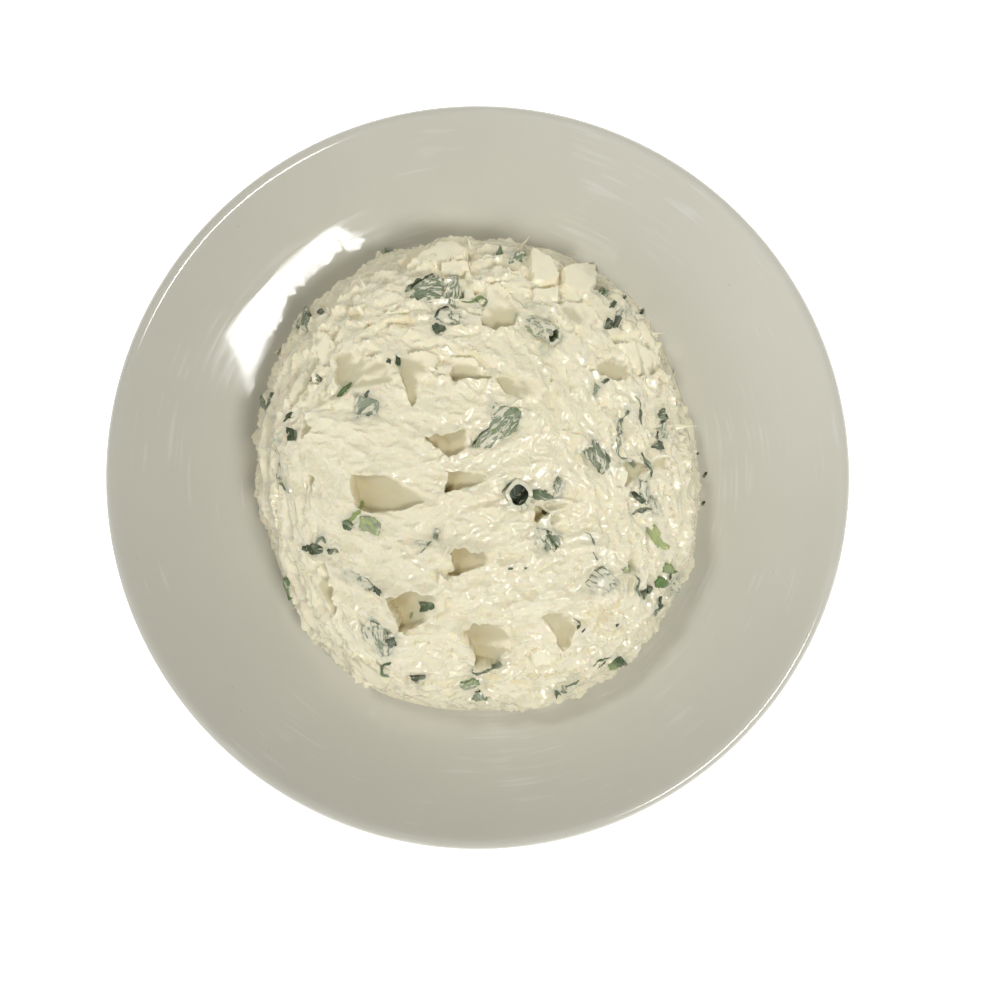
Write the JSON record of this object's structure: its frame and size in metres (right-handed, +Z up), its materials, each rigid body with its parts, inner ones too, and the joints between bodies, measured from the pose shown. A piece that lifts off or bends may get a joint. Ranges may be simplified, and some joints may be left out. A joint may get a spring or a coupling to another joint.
{
  "type": "cream cheese mound on plate",
  "caption": "Mound of soft cream cheese with chopped spring onion, with scooped and torn spatula marks, on a round glazed coupe plate.",
  "frame": {"origin": "centre of the plate's foot ring, on the surface it stands on", "axes": "+Z up, +X to the right and +Y to the back as the mound is seen from above"},
  "size_m": [0.2, 0.2, 0.0559],
  "materials": {
    "glazed_stoneware": "clear glossy glaze over warm off-white stoneware",
    "cream_cheese": "moist soft cheese, matt where torn and satin where a blade has passed",
    "spring_onion": "moist green leaf with a thin film of cheese"
  },
  "bodies": {
    "root": {"plate": "glazed_stoneware", "cheese": "cream_cheese"}
  },
  "joints": []
}
